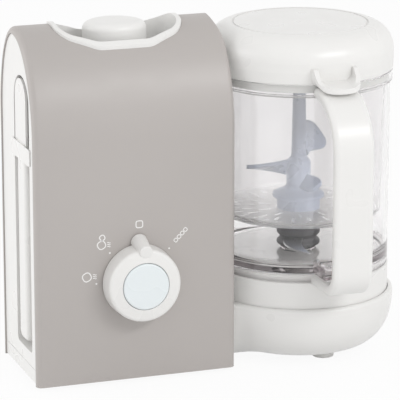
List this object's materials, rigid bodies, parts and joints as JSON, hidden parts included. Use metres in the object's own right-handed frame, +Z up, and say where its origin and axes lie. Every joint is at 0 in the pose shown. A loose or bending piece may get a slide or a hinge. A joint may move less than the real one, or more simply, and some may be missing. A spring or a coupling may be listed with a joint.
{
  "type": "baby food maker",
  "caption": "Steam-and-blend baby food maker: arched water tower with a front dial beside a clear lidded bowl with handle, basket, paddle and blade on a belt-driven base",
  "frame": {"origin": "on the table, under the middle of the whole object's box", "axes": "+Z up; -Y is the front with the dial and the bowl's handle; +X is to the right, from the tower to the bowl"},
  "size_m": [0.2872, 0.181, 0.2578],
  "materials": {
    "taupe_plastic": "satin, pearl-like",
    "white_plastic": "soft gloss",
    "button_plastic": "cool white, soft gloss",
    "clear_plastic": "clear",
    "milky_plastic": "clear, slightly milky",
    "blue_grey_plastic": "tinted, see-through",
    "dark_plastic": "matte",
    "blade_steel": "brushed",
    "aluminium": "cast",
    "motor_metal": "zinc plated",
    "bearing_bronze": "sintered",
    "white_rubber": "matte",
    "black_rubber": "matte",
    "board_green": "lacquered"
  },
  "bodies": {
    "housing": {"outer_shell": "taupe_plastic", "left_side_panel": "white_plastic", "right_side_panel": "white_plastic", "well_liner": "white_plastic", "bottom_cover": "white_plastic", "cover_screws": "blade_steel", "feet": "white_rubber", "cord_gland": "black_rubber", "water_tank": "aluminium", "heating_plate": "aluminium", "thermostat": "aluminium", "steam_hose": "white_rubber", "steam_nozzle": "white_plastic", "selector_switch": "white_plastic", "control_board": "board_green", "motor": "motor_metal", "motor_bracket": "motor_metal", "drive_belt": "black_rubber", "base_housing": "white_plastic", "base_deck": "white_plastic", "drive_bearing": "bearing_bronze"},
    "dial": {"dial": "white_plastic", "selector_shaft": "dark_plastic", "button_spring": "blade_steel"},
    "button": {"start_button": "button_plastic"},
    "cap_seal": {"boiler_cap_seal": "white_rubber"},
    "cap": {"boiler_cap": "white_plastic"},
    "bowl_seat": {"spindle_bush": "white_plastic"},
    "bowl": {"bowl": "clear_plastic", "bowl_collar": "white_plastic", "handle": "white_plastic"},
    "blade": {"blade_spindle": "blade_steel", "blade_hub": "dark_plastic", "blades": "blade_steel"},
    "basket": {"steam_basket": "milky_plastic"},
    "paddle": {"paddle": "blue_grey_plastic"},
    "lid_ring": {"lid_seal": "white_rubber"},
    "lid": {"lid": "white_plastic"},
    "drive": {"drive_shaft": "blade_steel", "drive_pulley": "dark_plastic", "drive_coupling": "dark_plastic"},
    "rotor": {"motor_shaft": "blade_steel", "motor_pulley": "aluminium"},
    "spatula": {"spatula": "white_plastic"}
  },
  "joints": [
    {"name": "dial_turn", "type": "hinge", "parent": "housing", "child": "dial", "pos_m": [-0.06735, -0.0273, 0.0764], "axis": [0, 1, 0], "range_deg": [-90, 45]},
    {"name": "button_press", "type": "slide", "parent": "dial", "child": "button", "axis": [0, 1, 0], "range_m": [0, 0.002], "stiffness_N_per_m": 500, "deforming": ["button_spring"]},
    {"name": "boiler_cap_lift", "type": "slide", "parent": "housing", "child": "cap_seal", "axis": [0, 0, 1], "range_m": [0, 0.06]},
    {"name": "boiler_cap_turn", "type": "hinge", "parent": "cap_seal", "child": "cap", "pos_m": [-0.06865, 0.0227, 0.2358], "axis": [0, 0, 1], "range_deg": [0, 120]},
    {"name": "bowl_lift", "type": "slide", "parent": "housing", "child": "bowl_seat", "axis": [0, 0, 1], "range_m": [0, 0.06]},
    {"name": "bowl_turn", "type": "hinge", "parent": "bowl_seat", "child": "bowl", "pos_m": [0.07285, 0.0197, 0.0442], "axis": [0, 0, 1], "range_deg": [0, 30]},
    {"name": "blade_spin", "type": "hinge", "parent": "bowl_seat", "child": "blade", "pos_m": [0.07285, 0.0197, 0.0788], "axis": [0, 0, 1], "continuous": true},
    {"name": "basket_lift", "type": "slide", "parent": "bowl", "child": "basket", "axis": [0, 0, 1], "range_m": [0, 0.11]},
    {"name": "paddle_spin", "type": "hinge", "parent": "basket", "child": "paddle", "pos_m": [0.07285, 0.0197, 0.107], "axis": [0, 0, 1], "continuous": true},
    {"name": "lid_lift", "type": "slide", "parent": "basket", "child": "lid_ring", "axis": [0, 0, 1], "range_m": [0, 0.08]},
    {"name": "lid_turn", "type": "hinge", "parent": "lid_ring", "child": "lid", "pos_m": [0.07285, 0.0197, 0.2139], "axis": [0, 0, 1], "range_deg": [0, 30]},
    {"name": "drive_spin", "type": "hinge", "parent": "housing", "child": "drive", "pos_m": [0.07285, 0.0197, 0.016], "axis": [0, 0, 1], "continuous": true},
    {"name": "motor_spin", "type": "hinge", "parent": "housing", "child": "rotor", "pos_m": [-0.04065, 0.0197, 0.0355], "axis": [0, 0, 1], "continuous": true},
    {"name": "spatula_pull", "type": "slide", "parent": "housing", "child": "spatula", "axis": [-1, 0, 0], "range_m": [0, 0.05]}
  ],
  "couplings": [
    {"joint": "motor_spin", "follows": "drive_spin", "ratio": 3},
    {"joint": "blade_spin", "follows": "drive_spin", "ratio": 1},
    {"joint": "paddle_spin", "follows": "drive_spin", "ratio": 1}
  ]
}
